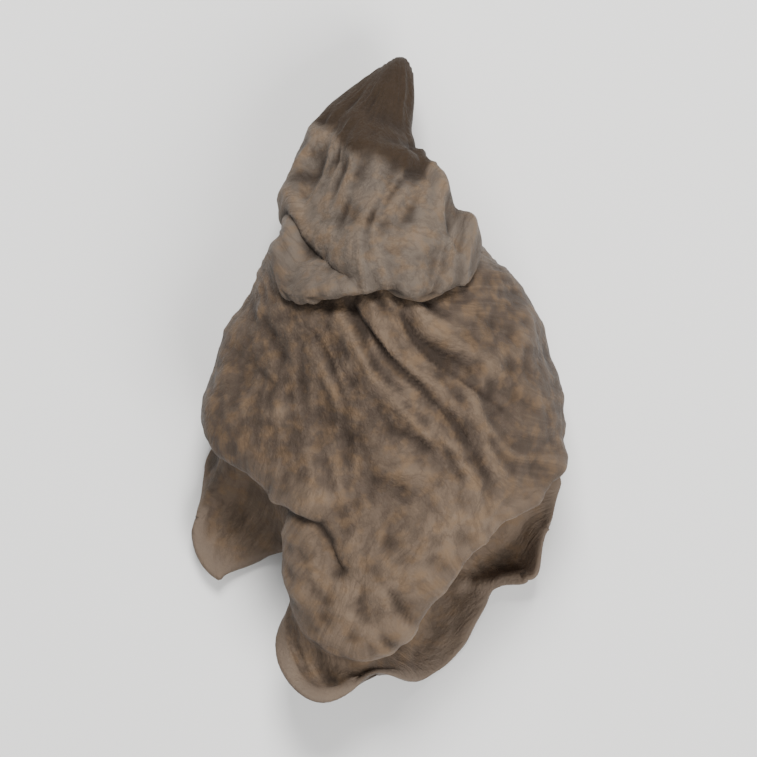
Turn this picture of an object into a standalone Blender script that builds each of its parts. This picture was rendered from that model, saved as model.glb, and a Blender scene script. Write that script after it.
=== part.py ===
"""Dried wood ear: one thin crumpled sheet that lies dome up on its own rolled margin.

X runs across the ear, +Y points to its pointed end and +Z is up. The origin is on the resting
surface under the middle of the ear. Sizes are in millimetres and become metres at the end.
"""

import math

import bmesh
import bpy
import numpy as np
from mathutils import Vector, noise

MM = 0.001

# Wall of the sheet in its middle, at its free edge, and where it laps and draws to its point. The
# lap's wall starts from its low station and fades before its high one, and the point's starts
# from its own.
WALL, EDGE_WALL, LAP_WALL = 0.44, 0.28, 0.24
THIN_LOW, THIN_HIGH, THIN_FADE, THIN_POINT = 2.4, 7.6, 1.5, 10.0

# The crest is the line where the sheet turns down from the dome. Its left side, right side and
# the spine between them share one station value, the way along the unfolded sheet from the bottom
# (-9.8) to the point (14). Each row is station, x, y, z.
LEFT_CREST = (
    (-9.8, -5.9, -2.8, 3.6),
    (-8.0, -6.3, -2.2, 3.4),
    (-5.5, -6.9, -1.6, 3.0),
    (-3.0, -6.9, -0.6, 2.7),
    (-0.6, -6.5, 0.8, 2.6),
    (1.4, -6.0, 2.1, 2.7),
    (3.2, -5.2, 3.4, 2.8),
    (4.7, -4.5, 4.7, 2.8),
    (6.2, -3.8, 6.2, 2.7),
    (8.0, -3.6, 8.0, 2.5),
    (10.2, -3.5, 10.1, 2.1),
    (12.4, -2.4, 12.1, 1.7),
    (14.0, -0.4, 13.6, 1.4),
)
RIGHT_CREST = (
    (-9.8, 5.2, -4.4, 4.3),
    (-8.0, 5.8, -3.5, 3.7),
    (-5.5, 6.35, -2.4, 2.8),
    (-3.0, 6.4, -1.2, 2.4),
    (-0.6, 6.0, 0.4, 2.2),
    (1.4, 5.0, 2.1, 2.3),
    (3.2, 4.5, 3.7, 2.4),
    (4.7, 3.9, 4.9, 2.4),
    (6.4, 2.3, 6.6, 2.3),
    (8.3, 0.8, 8.4, 2.2),
    (10.2, 0.1, 10.2, 2.0),
    (12.4, 0.5, 12.1, 1.7),
    (14.0, 0.6, 13.6, 1.4),
)
SPINE = (
    (-9.8, -1.0, -9.7, 3.7),
    (-8.0, -0.6, -8.0, 4.8),
    (-5.5, -0.2, -5.5, 5.7),
    (-3.0, 0.0, -3.0, 6.2),
    (-0.6, 0.0, -0.6, 6.35),
    (1.4, 0.0, 1.4, 6.3),
    (3.2, 0.0, 3.2, 6.1),
    (5.0, -0.1, 5.0, 5.8),
    (6.4, -0.3, 6.4, 5.4),
    (8.3, -0.5, 8.3, 4.8),
    (10.2, -1.0, 10.2, 3.9),
    (12.4, -0.6, 12.2, 2.7),
    (14.0, 0.5, 13.9, 1.8),
)

# The crest across the bottom, from the left corner (-1) to the right corner (1).
BOTTOM_CREST = (
    (-1.0, -5.9, -2.8, 3.6),
    (-0.8, -4.8, -3.8, 3.8),
    (-0.64, -3.7, -4.7, 3.9),
    (-0.5, -3.4, -6.1, 3.8),
    (-0.36, -3.4, -7.7, 3.6),
    (-0.2, -3.0, -9.2, 3.4),
    (-0.04, -1.4, -10.1, 3.6),
    (0.18, 0.2, -9.3, 4.2),
    (0.36, 1.3, -7.7, 4.8),
    (0.6, 2.4, -5.9, 5.0),
    (0.8, 3.8, -4.8, 4.8),
    (1.0, 5.0, -4.1, 4.3),
)

# How square the dome's section is, at the left and the right: 1 is round, 2 has a sharp crest.
SQUARE = (
    (-9.8, 1.6, 2.0),
    (-5.5, 1.4, 1.6),
    (-2.0, 1.2, 1.2),
    (3.0, 1.2, 1.2),
    (9.0, 1.4, 1.4),
    (12.0, 1.1, 1.1),
)

# How far each table's values are smoothed along its own station.
CREST_SPREAD, SQUARE_SPREAD, STRIP_SPREAD = 0.7, 1.5, 0.8
BOTTOM_CREST_SPREAD, BOTTOM_STRIP_SPREAD, TIP_STRIP_SPREAD, HOOD_SPREAD = 0.05, 0.03, 0.1, 0.09

# The bottom crest draws the body to itself up to this station.
BOTTOM_REACH, BOTTOM_PULL = 1.0, 1.6

# The strip beyond the crest: its station, length, tuck on the way down and turn at its end.
# A positive end curls under the ear, a negative one flares out.
LEFT_STRIP = (
    (-9.8, 4.2, 0, -100),
    (-8.0, 3.8, 10, -50),
    (-5.5, 3.8, 0, 70),
    (-2.0, 4.35, 0, 140),
    (0.8, 3.55, 20, 40),
    (3.0, 3.6, 30, -60),
    (5.0, 2.9, 10, 60),
    (7.0, 2.4, 0, 110),
    (10.0, 1.5, 0, 70),
    (14.0, 0.6, 0, 10),
)
RIGHT_STRIP = (
    (-9.8, 6.1, 47, -152),
    (-8.0, 5.0, 36, -80),
    (-6.4, 4.2, 20, -20),
    (-5.0, 3.8, 0, 95),
    (-3.0, 4.05, 0, 160),
    (-0.6, 4.2, 0, 185),
    (2.0, 4.0, 0, 165),
    (4.5, 3.2, 0, 120),
    (7.0, 2.3, 0, 90),
    (10.0, 1.5, 0, 60),
    (14.0, 0.6, 0, 10),
)
BOTTOM_STRIP = (
    (-1.0, 4.2, 0, -100),
    (-0.86, 5.2, -10, -110),
    (-0.73, 6.3, -15, -105),
    (-0.63, 6.2, -10, -98),
    (-0.56, 5.8, -8, -95),
    (-0.5, 5.0, 0, -75),
    (-0.45, 3.4, 8, -20),
    (-0.4, 2.4, 15, 5),
    (-0.3, 2.3, 8, 0),
    (-0.2, 2.4, -10, -150),
    (-0.1, 3.9, -20, -200),
    (-0.02, 2.6, 0, -140),
    (0.04, 2.4, 10, -110),
    (0.12, 6.0, 28, -124),
    (0.26, 7.5, 29, -132),
    (0.42, 7.6, 32, -138),
    (0.55, 7.3, 36, -140),
    (0.7, 7.9, 38, -165),
    (0.84, 7.5, 40, -180),
    (1.0, 6.1, 47, -152),
)
TIP_STRIP = (
    (-1.0, 0.6, 0, 0),
    (1.0, 0.6, 0, 0),
)
FLARE = 1.7
BEND_STEPS = 24

# A crest's direction is read between places this far from the point, along and across the sheet.
NEAR_ALONG, NEAR_ACROSS = 0.3, 0.05

# The hood is the end of the sheet by the point, lapped back over the body. This is its lower
# edge from the left crest (-1) to the right crest (1), in station values.
HOOD_EDGE = (
    (-1.0, 3.0),
    (-0.8, 2.6),
    (-0.55, 2.6),
    (-0.3, 3.0),
    (-0.14, 3.2),
    (0.05, 2.9),
    (0.3, 2.8),
    (0.55, 3.1),
    (0.8, 3.6),
    (1.0, 3.9),
)

# The lap takes this length of sheet, turned over by this angle in the middle and at the sides. It
# fades out from the first share of the half width over the second one. Its height settles towards
# the point and swells sideways only in part, and at the sides the same length is taken up over a
# longer stretch. Round the first station of the last pair, over the second one, the lap's relief
# is mostly taken back.
LAP_LENGTH = 2.0
LAP_TURN, LAP_SIDE_TURN = 2.0, 0.25
LAP_LIP, LAP_SPREAD = 0.15, 0.5
LAP_FADE = (0.62, 0.38)
LAP_SETTLE, LAP_EASE = 6.0, 6.5
LAP_CALM, LAP_CALM_SHARE = (4.9, 1.9), 0.8

# The body's wrinkles fan out from where the sheet was gathered, and reach full height this far
# from it. They stray a little as they go, and their strength changes from place to place round a
# middle value.
KNOT = (-5.6, 8.6)
KNOT_CLEAR = 5.0
WRINKLES_PER_RADIAN = 6.0
WRINKLE_DEPTH, WRINKLE_STRAY = 0.16, 0.12
STRENGTH, STRENGTH_CHANGE = 0.5, 0.6
STRAY_SCALE, STRENGTH_SCALE = 0.3, 0.3

# Broad dents and sharper ridges of the whole sheet, and how far before the point they die out.
# The ridges stand round this height of their noise.
CRUMPLE_DEPTH = 0.45
DENT_SCALE, RIDGE_SCALE, RIDGE_SHARE, RIDGE_LEVEL = 0.17, 0.3, 1.1, 0.35
POINT_SMOOTH = 4.5

# Each noise is read at its own place, so that they don't repeat each other.
STRAY_PLACE, STRENGTH_PLACE, DENT_PLACE, RIDGE_PLACE = 14.0, 29.0, 10.0, 17.0

# Ridges and hollows set by hand: start, middle and end in plan, height, half width. The hood's
# are given where they lie on the sheet before it is lapped. They die out over this share of a
# strip.
CREASE_REACH = 0.3
CREASES = (
    ((-5.0, 0.6), (-3.4, -0.6), (-1.6, -1.8), -0.6, 1.5),
    ((-6.2, -2.6), (-4.7, -3.8), (-2.4, -5.0), 0.4, 0.7),
    ((5.2, -4.0), (2.6, -6.0), (0.2, -8.7), 0.25, 0.5),
    ((-1.4, 2.9), (0.1, 1.0), (1.9, -1.0), -0.16, 0.3),
    ((0.3, 2.6), (1.9, 0.6), (3.8, -0.8), -0.14, 0.3),
    ((-4.3, -4.5), (-3.2, -5.4), (-2.2, -7.1), -0.28, 0.42),
)
HOOD_CREASES = (
    ((-2.6, 9.4), (-1.5, 7.2), (-0.8, 5.8), -0.4, 0.6),
    ((1.4, 10.4), (1.0, 8.6), (0.5, 7.0), 0.35, 1.0),
    ((-1.2, 11.4), (-0.9, 10.0), (-1.2, 8.6), 0.3, 0.6),
)

# Grid lines: across a side strip and the dome, and along the tip strip, hood, lap, body and
# bottom strip. The lines on the dome stand closer towards the crest. At a corner the strips of
# the side and of the end share these parts of their length.
BOTTOM_STATION, LAP_LOW, LAP_HIGH, TIP_STATION = -9.8, 3.0, 6.3, 14.0
DOME_SWING = 0.8
CORNER_ACROSS, CORNER_ALONG = 0.2, 0.08
SIDE_LINES, DOME_LINES = 7, 32
TIP_LINES, HOOD_LINES, LAP_LINES, BODY_LINES, BOTTOM_LINES = 2, 8, 12, 19, 8

# Passes that even the sheet out, further passes on its inner face near the crests, and the share
# of a strip over which those fade.
SMOOTH_PASSES, INNER_PASSES, INNER_REACH = 3, 5, 0.5

# The lowest parts of the margin are levelled over this height, and the solid is set this deep
# into the surface that it lies on and cut flat there.
PRESS_HEIGHT, PRESS_SOFT = 0.55, 0.05
SEAT_DEPTH = 0.1

SHEET_COLOR, SHEET_ROUGHNESS = (0.115, 0.085, 0.062, 1.0), 0.8


def empty_scene():
    """Remove what the scene holds."""
    for old in list(bpy.data.objects):
        bpy.data.objects.remove(old, do_unlink=True)


def smooth_step(value):
    """0 below 0, 1 above 1 and an S-curve between."""
    t = np.clip(value, 0.0, 1.0)
    return t * t * (3.0 - 2.0 * t)


def blend(stations, column, at, spread):
    """One column of a station table at these station values, smoothed over the spread."""
    keys = [row[0] for row in stations]
    values = [row[column] for row in stations]
    total = 0.0
    weights = 0.0
    for step in range(-6, 7):
        weight = math.exp(-0.5 * (step / 3.0) ** 2)
        total = total + weight * np.interp(at + step / 3.0 * spread, keys, values)
        weights += weight
    return total / weights


def blend_points(stations, at, spread):
    return np.stack([blend(stations, column, at, spread) for column in (1, 2, 3)], axis=-1)


def unit(vectors):
    return vectors / np.maximum(np.linalg.norm(vectors, axis=-1, keepdims=True), 1e-9)


def sheet_layout(side, dome, tip, hood, lap, body, bottom):
    """Lay a grid of lines out on the sheet.

    It returns the station along the sheet, the station across it, the distance past the crest (0
    on the dome and 1 at the free edge) and how far that strip belongs to an end of the sheet
    rather than to a side.
    """
    columns = side + dome + side
    rows = bottom + body + lap + hood + tip
    row, column = np.meshgrid(np.arange(rows + 1.0), np.arange(columns + 1.0), indexing="ij")
    gx = column - columns / 2
    past_side = np.clip(np.abs(gx) - dome / 2, 0, None) / side
    past_bottom = np.clip(bottom - row, 0, None) / bottom
    past_tip = np.clip(row - (rows - tip), 0, None) / tip
    past_end = np.maximum(past_bottom, past_tip)
    beyond = np.maximum(past_side, past_end)

    # Each ring of the strip spreads its lines over the whole crest, so that corners stay open.
    dome_row = body + lap + hood
    share_x = gx / (dome / 2 + side * beyond)
    low = bottom * (1 - beyond)
    high = bottom + dome_row + tip * beyond
    share_y = (row - low) / (high - low)
    swing = np.linspace(-1.0, 1.0, dome + 1) * DOME_SWING
    q = np.interp(share_x, np.linspace(-1, 1, dome + 1), np.sin(swing) / math.sin(DOME_SWING))
    stations = np.concatenate([
        np.linspace(BOTTOM_STATION, LAP_LOW, body + 1)[:-1],
        np.linspace(LAP_LOW, LAP_HIGH, lap + 1)[:-1],
        np.linspace(LAP_HIGH, TIP_STATION, hood + 1),
    ])
    s = np.interp(share_y, np.linspace(0, 1, dome_row + 1), stations)

    near_side = smooth_step((np.abs(share_x) - 1.0 + CORNER_ACROSS) / CORNER_ACROSS) / 2
    near_end = smooth_step((np.abs(share_y - 0.5) - 0.5 + CORNER_ALONG) / CORNER_ALONG) / 2
    endwise = np.where(past_end >= past_side, 1.0 - near_side, near_end)
    return s, q, beyond, endwise, share_y


def dome_points(s, q):
    """The smooth dome at these stations, without the hood's lap."""
    left = blend_points(LEFT_CREST, s, CREST_SPREAD)
    right = blend_points(RIGHT_CREST, s, CREST_SPREAD)
    spine = blend_points(SPINE, s, CREST_SPREAD)
    square = np.where(q < 0, blend(SQUARE, 1, s, SQUARE_SPREAD),
                      blend(SQUARE, 2, s, SQUARE_SPREAD))
    q3 = q[..., None]
    chord = (left + right) / 2 + q3 * (right - left) / 2
    bow = spine - (left + right) / 2
    points = chord + bow * (1.0 - q3 ** 2)
    rise = np.sqrt(np.clip(1.0 - q ** 2, 0.0, 1.0)) ** square
    points[..., 2] = chord[..., 2] + bow[..., 2] * rise
    return points


def base_points(s, q):
    """The dome with its bottom row drawn onto the bottom crest."""
    points = dome_points(s, q)
    first = np.full_like(s, BOTTOM_STATION)
    gap = blend_points(BOTTOM_CREST, q, BOTTOM_CREST_SPREAD) - dome_points(first, q)
    near = np.clip((BOTTOM_REACH - s) / (BOTTOM_REACH - BOTTOM_STATION), 0.0, 1.0) ** BOTTOM_PULL
    return points + gap * near[..., None]


def strip_values(stations, at, spread):
    length = blend(stations, 1, at, spread)
    tuck = np.radians(blend(stations, 2, at, spread))
    end = np.radians(blend(stations, 3, at, spread))
    return np.stack([length, tuck, end], axis=-1)


def outward(s, q):
    """Plan directions away from the dome at its crest: past its sides, and past its ends."""
    low, high = BOTTOM_STATION, TIP_STATION
    ahead = base_points(np.clip(s + NEAR_ALONG, low, high), q)
    behind = base_points(np.clip(s - NEAR_ALONG, low, high), q)
    along = ahead - behind
    side = np.stack([along[..., 1], -along[..., 0]], axis=-1) * np.sign(q)[..., None]
    right = base_points(s, np.clip(q + NEAR_ACROSS, -1, 1))
    left = base_points(s, np.clip(q - NEAR_ACROSS, -1, 1))
    across = right - left
    end = np.stack([-across[..., 1], across[..., 0]], axis=-1)
    return unit(side), unit(end)


def bend_steps():
    """Middles of equal steps from 0 to 1, over which a bend's heading is averaged."""
    return (np.arange(BEND_STEPS) + 0.5) / BEND_STEPS


def smooth_sheet(s, q, beyond, endwise, share_y):
    """The sheet without its lap: the dome and the strip that hangs from its crest."""
    side, end = outward(s, q)
    at_bottom = (share_y < 0.5)[..., None]
    end = np.where(at_bottom, -end, end)
    mix = endwise[..., None]
    direction = unit(side * (1.0 - mix) + end * mix)
    side_values = np.where(q[..., None] < 0, strip_values(LEFT_STRIP, s, STRIP_SPREAD),
                           strip_values(RIGHT_STRIP, s, STRIP_SPREAD))
    end_values = np.where(at_bottom, strip_values(BOTTOM_STRIP, q, BOTTOM_STRIP_SPREAD),
                          strip_values(TIP_STRIP, q, TIP_STRIP_SPREAD))
    values = side_values * (1.0 - mix) + end_values * mix
    length, tuck, turn = values[..., 0], values[..., 1], values[..., 2]
    part = beyond[..., None] * bend_steps()
    heading = math.pi / 2 + tuck[..., None] * np.sin(math.pi * part)
    heading = heading + turn[..., None] * part ** FLARE
    run = length * beyond
    points = base_points(s, q)
    points[..., :2] += direction * (run * np.cos(heading).mean(axis=-1))[..., None]
    points[..., 2] -= run * np.sin(heading).mean(axis=-1)
    return points


def relax(points, passes):
    """Even out a structured grid of points, its side edges along themselves."""
    points = points.copy()
    for _ in range(passes):
        inner = (points[:-2, 1:-1] + points[2:, 1:-1] + points[1:-1, :-2] + points[1:-1, 2:]) / 4
        sides = (points[:-2, [0, -1]] + points[2:, [0, -1]]) / 2
        points[1:-1, 1:-1] += 0.5 * (inner - points[1:-1, 1:-1])
        points[1:-1, [0, -1]] += 0.5 * (sides - points[1:-1, [0, -1]])
    return points


def grid_normals(points):
    """Outward unit normals of a structured grid of points."""
    along = np.gradient(points, axis=0)
    across = np.gradient(points, axis=1)
    return unit(np.cross(across, along))


def lap_hood(points, normals, s, q, beyond):
    """Lap the pointed end back over the body, so that its edge stands on the body as a lip."""
    reach = np.abs(q) + beyond
    fade = smooth_step((reach - LAP_FADE[0]) / LAP_FADE[1])
    turn = LAP_TURN + (LAP_SIDE_TURN - LAP_TURN) * fade
    start = blend(HOOD_EDGE, 1, q, HOOD_SPREAD) + LAP_LIP
    through = np.clip((s - start) / LAP_LENGTH, 0.0, 1.0)
    heading = turn[..., None] * np.sin(math.pi * through[..., None] * bend_steps())
    run = LAP_LENGTH * through
    back = run * (1.0 - np.cos(heading).mean(axis=-1))
    settle = np.exp(-np.clip(s - start - LAP_LENGTH, 0.0, None) / LAP_SETTLE)
    lift = run * np.sin(heading).mean(axis=-1) * settle
    swell = normals * np.array((LAP_SPREAD, 1.0, 1.0))
    folded = points + swell * lift[..., None]
    eased = LAP_LENGTH * smooth_step((s - LAP_LOW) / LAP_EASE)
    shift = back + (eased - back) * fade
    even = smooth_step((s - LAP_HIGH) / (TIP_STATION - LAP_HIGH - 1.0))
    folded[..., 1] -= shift + (LAP_LENGTH - shift) * even
    return folded


def crease_height(creases, x, y):
    """Height that the hand-set ridges and hollows add at plan positions."""
    total = np.zeros_like(x)
    for start, middle, end, height, width in creases:
        nearest = np.full_like(x, 1e9)
        for a, b in ((start, middle), (middle, end)):
            dx, dy = b[0] - a[0], b[1] - a[1]
            along = np.clip(((x - a[0]) * dx + (y - a[1]) * dy) / (dx * dx + dy * dy), 0.0, 1.0)
            nearest = np.minimum(nearest, np.hypot(x - a[0] - along * dx, y - a[1] - along * dy))
        total += height * np.exp(-(nearest / width) ** 1.5)
    return total


def noise_at(scale, x, y, z):
    """Smooth noise at an array of positions."""
    flat = np.stack([x, y, z], axis=-1).reshape(-1, 3) * scale
    return np.array([noise.noise(Vector(p)) for p in flat]).reshape(x.shape)


def relief(points, s, beyond):
    """Height of the wrinkles, dents and creases along the sheet's normal."""
    x, y, z = points[..., 0], points[..., 1], points[..., 2]
    dx, dy = x - KNOT[0], y - KNOT[1]
    level = np.zeros_like(z)
    stray = noise_at(STRAY_SCALE, x, y, level + STRAY_PLACE) * WRINKLE_STRAY
    fan = np.sin((np.arctan2(dy, dx) + stray) * WRINKLES_PER_RADIAN * 2 * math.pi)
    strength = noise_at(STRENGTH_SCALE, x, y, level + STRENGTH_PLACE)
    strength = STRENGTH + STRENGTH_CHANGE * strength
    wrinkle = WRINKLE_DEPTH * fan * strength * np.clip(np.hypot(dx, dy) / KNOT_CLEAR, 0.0, 1.0)
    dents = noise_at(DENT_SCALE, x, y, z + DENT_PLACE)
    ridges = RIDGE_LEVEL - np.abs(noise_at(RIDGE_SCALE, x + RIDGE_PLACE, y, z))
    crumple = CRUMPLE_DEPTH * (dents + RIDGE_SHARE * ridges)
    calm = 1.0 - LAP_CALM_SHARE * np.exp(-((s - LAP_CALM[0]) / LAP_CALM[1]) ** 4)
    on_hood = smooth_step(s - LAP_CALM[0])
    creases = crease_height(CREASES, x, y) * (1.0 - on_hood)
    creases += crease_height(HOOD_CREASES, x, y) * on_hood
    on_dome = np.clip(1.0 - beyond / CREASE_REACH, 0.0, 1.0)
    open_sheet = smooth_step((TIP_STATION - s) / POINT_SMOOTH)
    return ((wrinkle + crumple) * calm + creases * on_dome) * open_sheet


def ear_sheet(lines):
    """Middle surface of the finished sheet as a grid of points, and its distance past the crest."""
    s, q, beyond, endwise, share_y = sheet_layout(*lines)
    points = relax(smooth_sheet(s, q, beyond, endwise, share_y), SMOOTH_PASSES)
    normals = grid_normals(points)
    points = points + normals * relief(points, s, beyond)[..., None]
    points = lap_hood(points, normals, s, q, beyond)
    return press(points), s, beyond


def press(points):
    """Level the lowest parts of the margin, where the ear lies on the surface."""
    level = points[..., 2].min() + PRESS_HEIGHT
    above = (points[..., 2] - level) / PRESS_SOFT
    points[..., 2] = level + PRESS_SOFT * np.logaddexp(0.0, above)
    return points


def wall_at(s, beyond):
    """Wall thickness at a station and a distance past the crest."""
    wall = WALL + (EDGE_WALL - WALL) * smooth_step(beyond)
    lap = smooth_step(s - THIN_LOW) * smooth_step((THIN_HIGH - s) / THIN_FADE)
    point = smooth_step((s - THIN_POINT) / (TIP_STATION - 1.0 - THIN_POINT))
    return np.minimum(wall, WALL + (LAP_WALL - WALL) * np.maximum(lap, point))


def make_ear(collection):
    """The whole fungus as one closed solid."""
    lines = (SIDE_LINES, DOME_LINES, TIP_LINES, HOOD_LINES, LAP_LINES, BODY_LINES, BOTTOM_LINES)
    points, s, beyond = ear_sheet(lines)
    rows, columns = beyond.shape
    normals = grid_normals(points)
    wall = wall_at(s, beyond)[..., None]
    top = points + normals * wall / 2

    # Under the body's crests the inner face runs rounder than the outer one.
    share = smooth_step(LAP_LOW - s) * smooth_step(1.0 - beyond / INNER_REACH)
    inner = points + (relax(points, INNER_PASSES) - points) * share[..., None]
    low = inner - grid_normals(inner) * wall / 2

    bm = bmesh.new()
    bmesh.ops.create_grid(bm, x_segments=columns - 1, y_segments=rows - 1, size=1.0)
    outer = set(bm.verts)
    bmesh.ops.extrude_face_region(bm, geom=bm.faces[:], use_keep_orig=True)
    for vertex in bm.verts:
        row = round((vertex.co.y + 1.0) / 2.0 * (rows - 1))
        column = round((vertex.co.x + 1.0) / 2.0 * (columns - 1))
        side = top if vertex in outer else low
        vertex.co = Vector(side[row, column])
    bmesh.ops.recalc_face_normals(bm, faces=bm.faces[:])
    seat(bm)
    bmesh.ops.scale(bm, vec=(MM, MM, MM), verts=bm.verts)
    mesh = bpy.data.meshes.new("wood_ear")
    bm.to_mesh(mesh)
    bm.free()
    mesh.shade_smooth()
    mesh.materials.append(sheet_material())
    ear = bpy.data.objects.new("wood_ear", mesh)
    collection.objects.link(ear)
    return ear


def seat(bm):
    """Centre the ear, set it on z = 0 and press its lowest points flat."""
    points = np.array([v.co for v in bm.verts])
    low, high = points.min(axis=0), points.max(axis=0)
    middle = (low + high) / 2
    for vertex in bm.verts:
        vertex.co.x -= middle[0]
        vertex.co.y -= middle[1]
        vertex.co.z = max(vertex.co.z - low[2] - SEAT_DEPTH, 0.0)


def sheet_material():
    """Dull grey-brown skin."""
    material = bpy.data.materials.new("dried_sheet")
    material.use_nodes = True
    skin = material.node_tree.nodes["Principled BSDF"]
    skin.inputs["Base Color"].default_value = SHEET_COLOR
    skin.inputs["Roughness"].default_value = SHEET_ROUGHNESS
    skin.inputs["Metallic"].default_value = 0.0
    return material


def main():
    empty_scene()
    collection = bpy.data.collections.new("dried_wood_ear")
    bpy.context.scene.collection.children.link(collection)
    make_ear(collection)


main()
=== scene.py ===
"""Dried wood ear: the finished look of one thin, crumpled sheet that lies dome up on its margin.

The sheet is worked out in millimetres, on the same plan as its solid: a grid of lines over the
dome, a strip that hangs from its crest all round, and a lap that turns the pointed end back over
the body as a hood. X runs across the ear, +Y points to its pointed end and +Z is up.
"""

import math

import bmesh
import bpy
import numpy as np
from bpy.props import FloatProperty, FloatVectorProperty, PointerProperty
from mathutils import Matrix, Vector, noise
from mathutils.bvhtree import BVHTree


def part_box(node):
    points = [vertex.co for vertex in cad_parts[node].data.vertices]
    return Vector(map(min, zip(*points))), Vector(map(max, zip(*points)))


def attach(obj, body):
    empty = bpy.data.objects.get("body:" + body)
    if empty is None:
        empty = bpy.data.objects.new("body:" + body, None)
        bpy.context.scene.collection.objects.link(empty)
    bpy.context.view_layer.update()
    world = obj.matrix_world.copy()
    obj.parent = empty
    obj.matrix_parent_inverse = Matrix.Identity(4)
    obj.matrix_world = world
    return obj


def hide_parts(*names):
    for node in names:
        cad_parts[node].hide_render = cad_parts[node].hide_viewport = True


bl_info = {
    "name": "Dried Wood Ear",
    "version": (1, 0, 0),
    "blender": (4, 5, 0),
    "location": "View3D > Sidebar > Wood Ear",
    "description": "Builds the skin, fine wrinkles and finish of one dried wood ear",
    "category": "Object",
}

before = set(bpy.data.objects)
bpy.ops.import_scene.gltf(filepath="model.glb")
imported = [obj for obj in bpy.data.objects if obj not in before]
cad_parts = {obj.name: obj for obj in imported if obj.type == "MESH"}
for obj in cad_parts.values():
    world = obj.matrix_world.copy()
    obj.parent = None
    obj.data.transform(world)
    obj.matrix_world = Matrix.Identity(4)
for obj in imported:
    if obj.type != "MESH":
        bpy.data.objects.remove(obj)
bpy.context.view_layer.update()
EAR_LOW, EAR_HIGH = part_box("wood_ear")

MM = 0.001
TINY, FAR_AWAY = 1e-9, 1e9

# The crest is the line where the sheet turns down from the dome. Its left side, right side and
# the spine between them share one station value, the way along the unfolded sheet from the bottom
# (-9.8) to the point (14). Each row is station, x, y, z.
LEFT_CREST = (
    (-9.8, -5.7, -2.2, 3.6),
    (-8.0, -6.3, -1.9, 3.4),
    (-5.5, -6.75, -1.4, 3.0),
    (-3.0, -6.75, -0.5, 2.7),
    (-0.6, -6.5, 0.8, 2.6),
    (1.4, -6.0, 2.1, 2.7),
    (3.2, -5.2, 3.4, 2.8),
    (4.7, -4.5, 4.7, 2.8),
    (6.2, -3.8, 6.2, 2.7),
    (8.0, -3.6, 8.0, 2.5),
    (10.2, -3.5, 10.1, 2.1),
    (12.4, -2.4, 12.1, 1.7),
    (14.0, 0.1, 13.85, 1.4),
)
RIGHT_CREST = (
    (-9.8, 5.2, -4.4, 4.3),
    (-8.0, 5.8, -3.5, 3.7),
    (-5.5, 6.35, -2.4, 2.8),
    (-3.0, 6.4, -1.2, 2.4),
    (-0.6, 6.0, 0.4, 2.2),
    (1.4, 5.0, 2.1, 2.3),
    (3.2, 4.5, 3.7, 2.4),
    (4.7, 3.9, 4.9, 2.4),
    (6.4, 2.3, 6.6, 2.3),
    (8.3, 0.8, 8.4, 2.2),
    (10.2, 0.1, 10.2, 2.0),
    (12.4, 0.5, 12.1, 1.7),
    (14.0, 0.6, 13.85, 1.4),
)
SPINE = (
    (-9.8, -1.0, -9.7, 3.7),
    (-8.0, -0.6, -8.0, 4.8),
    (-5.5, -0.2, -5.5, 5.7),
    (-3.0, 0.0, -3.0, 6.2),
    (-0.6, 0.0, -0.6, 6.35),
    (1.4, 0.0, 1.4, 6.3),
    (3.2, 0.0, 3.2, 6.1),
    (5.0, -0.1, 5.0, 5.8),
    (6.4, -0.3, 6.4, 5.4),
    (8.3, -0.5, 8.3, 4.8),
    (10.2, -1.0, 10.2, 3.9),
    (12.4, -0.6, 12.2, 2.7),
    (14.0, 0.5, 14.15, 1.8),
)

# The crest across the bottom, from the left corner (-1) to the right corner (1).
BOTTOM_CREST = (
    (-1.0, -5.7, -2.2, 3.6),
    (-0.8, -4.6, -2.8, 3.8),
    (-0.64, -3.65, -3.6, 3.9),
    (-0.5, -3.5, -4.95, 3.8),
    (-0.36, -3.55, -7.0, 3.6),
    (-0.2, -2.9, -9.1, 3.4),
    (-0.04, -1.4, -9.8, 3.6),
    (0.18, 0.1, -9.1, 4.2),
    (0.36, 1.2, -7.6, 4.8),
    (0.6, 2.4, -5.9, 5.0),
    (0.8, 3.8, -4.8, 4.8),
    (1.0, 5.0, -4.1, 4.3),
)

# The shape of the dome's section: station, left, right. 1 is round and 2 leaves a sharp crest.
SECTION = (
    (-9.8, 1.6, 2.0),
    (-5.5, 1.4, 1.6),
    (-2.0, 1.2, 1.2),
    (3.0, 1.2, 1.2),
    (9.0, 1.4, 1.4),
    (12.0, 1.1, 1.1),
)

# How far each table's values are smoothed, and the steps to each side and in the spread.
CREST_SPREAD, SECTION_SPREAD, STRIP_SPREAD = 0.7, 1.5, 0.8
BOTTOM_CREST_SPREAD, BOTTOM_STRIP_SPREAD, TIP_STRIP_SPREAD, HOOD_SPREAD = 0.05, 0.03, 0.1, 0.09
BLEND_SIDE, BLEND_STEPS = 6, 3.0

# The bottom crest draws the body to itself up to this station, with this power of the way there.
BOTTOM_REACH, BOTTOM_PULL = 1.0, 1.6

# The directions past the crest are taken over these steps of the two stations.
ALONG_STEP, ACROSS_STEP = 0.3, 0.05

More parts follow.
